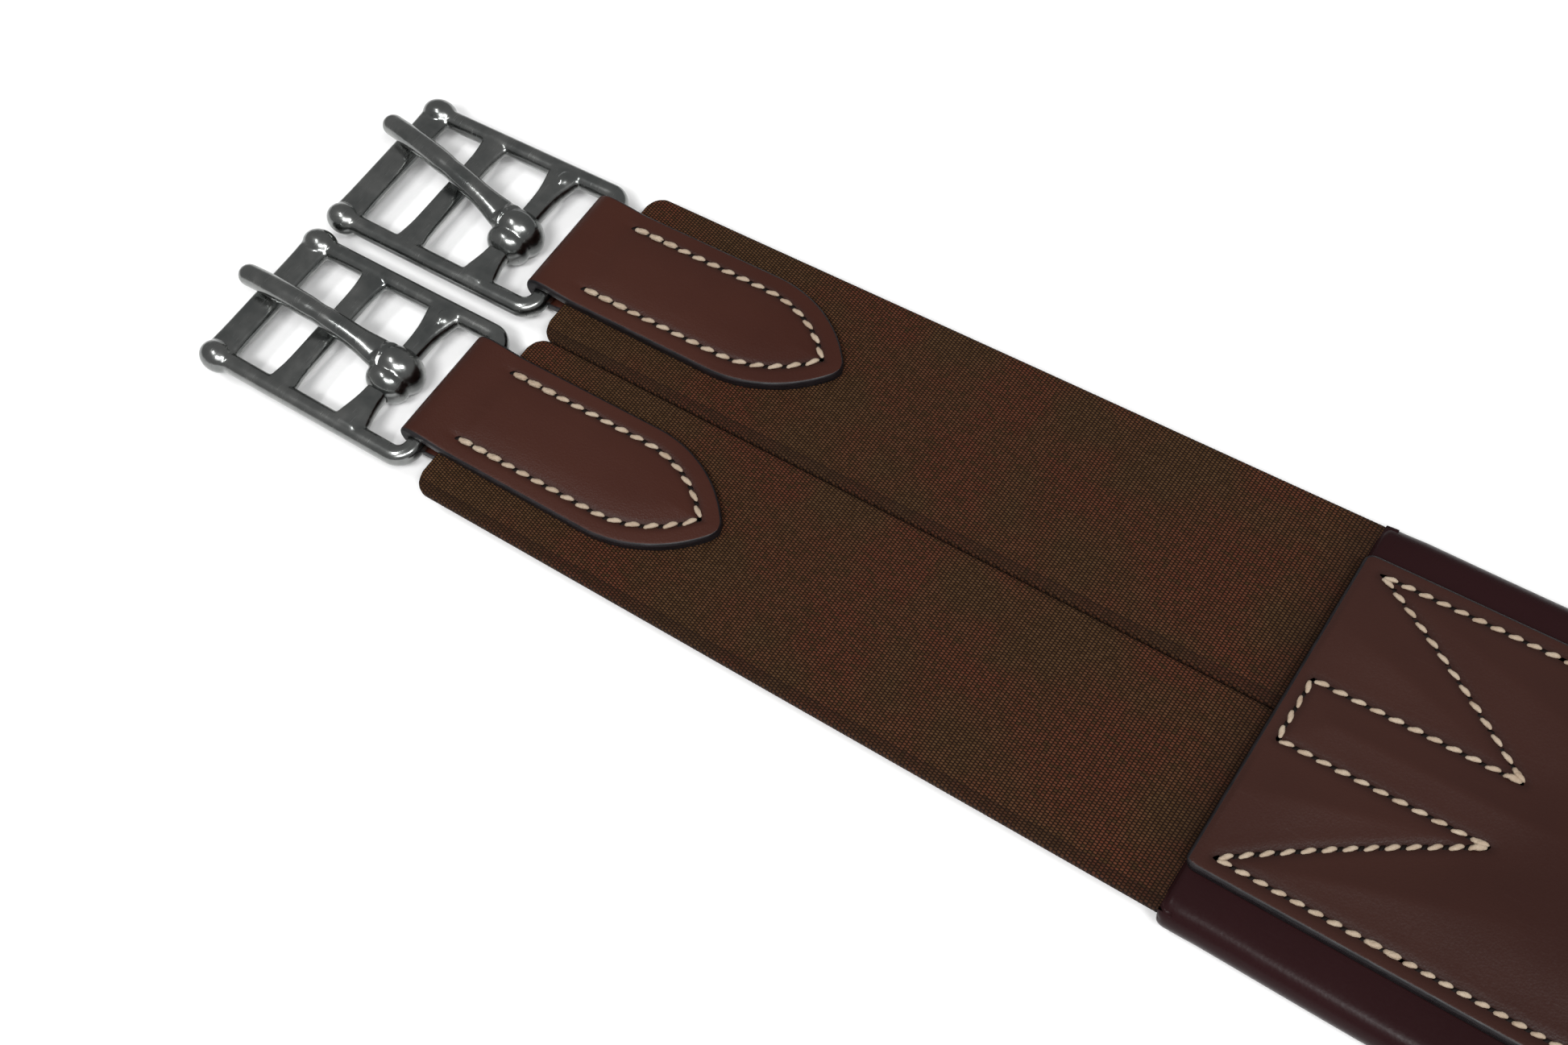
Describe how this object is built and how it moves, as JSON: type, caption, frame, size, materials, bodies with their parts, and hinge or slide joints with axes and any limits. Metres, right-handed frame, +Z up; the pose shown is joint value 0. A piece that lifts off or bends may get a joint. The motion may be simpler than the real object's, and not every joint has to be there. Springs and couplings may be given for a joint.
{
  "type": "saddle girth",
  "caption": "Padded leather saddle girth with paired elastic ends, folded leather chapes and hinged steel buckles whose tongues open.",
  "frame": {"origin": "centre of the girth's footprint, on the plane that the lining rests on", "axes": "+X along the girth towards the off-side buckles, +Y towards the rear band, +Z up out of the leather strap's show side"},
  "size_m": [1.228, 0.092, 0.0154],
  "materials": {
    "lining_leather": "smooth soft aubergine leather",
    "foam": "closed-cell foam",
    "web": "woven webbing",
    "strap_leather": "satin bridle leather with black inked edges",
    "chape_leather": "satin bridle leather with black inked edges",
    "thread": "waxed cream thread",
    "elastic": "ribbed brown elastic webbing",
    "buckle_steel": "polished cast stainless steel"
  },
  "bodies": {
    "body": {"lining_cover": "lining_leather", "foam_core": "foam", "reinforcement_web": "web", "overlay_strap": "strap_leather", "overlay_stitching": "thread", "near_front_elastic": "elastic", "near_rear_elastic": "elastic", "off_front_elastic": "elastic", "off_rear_elastic": "elastic"},
    "near_front_end": {"near_front_chape": "chape_leather", "near_front_chape_stitching": "thread"},
    "near_front_frame": {"near_front_buckle_frame": "buckle_steel"},
    "near_front_tongue": {"near_front_buckle_tongue": "buckle_steel"},
    "near_rear_end": {"near_rear_chape": "chape_leather", "near_rear_chape_stitching": "thread"},
    "near_rear_frame": {"near_rear_buckle_frame": "buckle_steel"},
    "near_rear_tongue": {"near_rear_buckle_tongue": "buckle_steel"},
    "off_front_end": {"off_front_chape": "chape_leather", "off_front_chape_stitching": "thread"},
    "off_front_frame": {"off_front_buckle_frame": "buckle_steel"},
    "off_front_tongue": {"off_front_buckle_tongue": "buckle_steel"},
    "off_rear_end": {"off_rear_chape": "chape_leather", "off_rear_chape_stitching": "thread"},
    "off_rear_frame": {"off_rear_buckle_frame": "buckle_steel"},
    "off_rear_tongue": {"off_rear_buckle_tongue": "buckle_steel"}
  },
  "joints": [
    {"name": "near_front_elastic_stretch", "type": "slide", "parent": "body", "child": "near_front_end", "axis": [-1, 0, 0], "range_m": [0, 0.05], "stiffness_N_per_m": 3000, "deforming": ["near_front_elastic"]},
    {"name": "near_front_buckle_swing", "type": "hinge", "parent": "near_front_end", "child": "near_front_frame", "pos_m": [-0.5488, -0.0225, 0.0067], "axis": [0, -1, 0], "range_deg": [-130, 130]},
    {"name": "near_front_tongue_open", "type": "hinge", "parent": "near_front_frame", "child": "near_front_tongue", "pos_m": [-0.5654, -0.0225, 0.0067], "axis": [0, 1, 0], "range_deg": [0, 120]},
    {"name": "near_rear_elastic_stretch", "type": "slide", "parent": "body", "child": "near_rear_end", "axis": [-1, 0, 0], "range_m": [0, 0.05], "stiffness_N_per_m": 3000, "deforming": ["near_rear_elastic"]},
    {"name": "near_rear_buckle_swing", "type": "hinge", "parent": "near_rear_end", "child": "near_rear_frame", "pos_m": [-0.5488, 0.0225, 0.0067], "axis": [0, -1, 0], "range_deg": [-130, 130]},
    {"name": "near_rear_tongue_open", "type": "hinge", "parent": "near_rear_frame", "child": "near_rear_tongue", "pos_m": [-0.5654, 0.0225, 0.0067], "axis": [0, 1, 0], "range_deg": [0, 120]},
    {"name": "off_front_elastic_stretch", "type": "slide", "parent": "body", "child": "off_front_end", "axis": [1, 0, 0], "range_m": [0, 0.05], "stiffness_N_per_m": 3000, "deforming": ["off_front_elastic"]},
    {"name": "off_front_buckle_swing", "type": "hinge", "parent": "off_front_end", "child": "off_front_frame", "pos_m": [0.5488, -0.0225, 0.0067], "axis": [0, 1, 0], "range_deg": [-130, 130]},
    {"name": "off_front_tongue_open", "type": "hinge", "parent": "off_front_frame", "child": "off_front_tongue", "pos_m": [0.5654, -0.0225, 0.0067], "axis": [0, -1, 0], "range_deg": [0, 120]},
    {"name": "off_rear_elastic_stretch", "type": "slide", "parent": "body", "child": "off_rear_end", "axis": [1, 0, 0], "range_m": [0, 0.05], "stiffness_N_per_m": 3000, "deforming": ["off_rear_elastic"]},
    {"name": "off_rear_buckle_swing", "type": "hinge", "parent": "off_rear_end", "child": "off_rear_frame", "pos_m": [0.5488, 0.0225, 0.0067], "axis": [0, 1, 0], "range_deg": [-130, 130]},
    {"name": "off_rear_tongue_open", "type": "hinge", "parent": "off_rear_frame", "child": "off_rear_tongue", "pos_m": [0.5654, 0.0225, 0.0067], "axis": [0, -1, 0], "range_deg": [0, 120]}
  ]
}
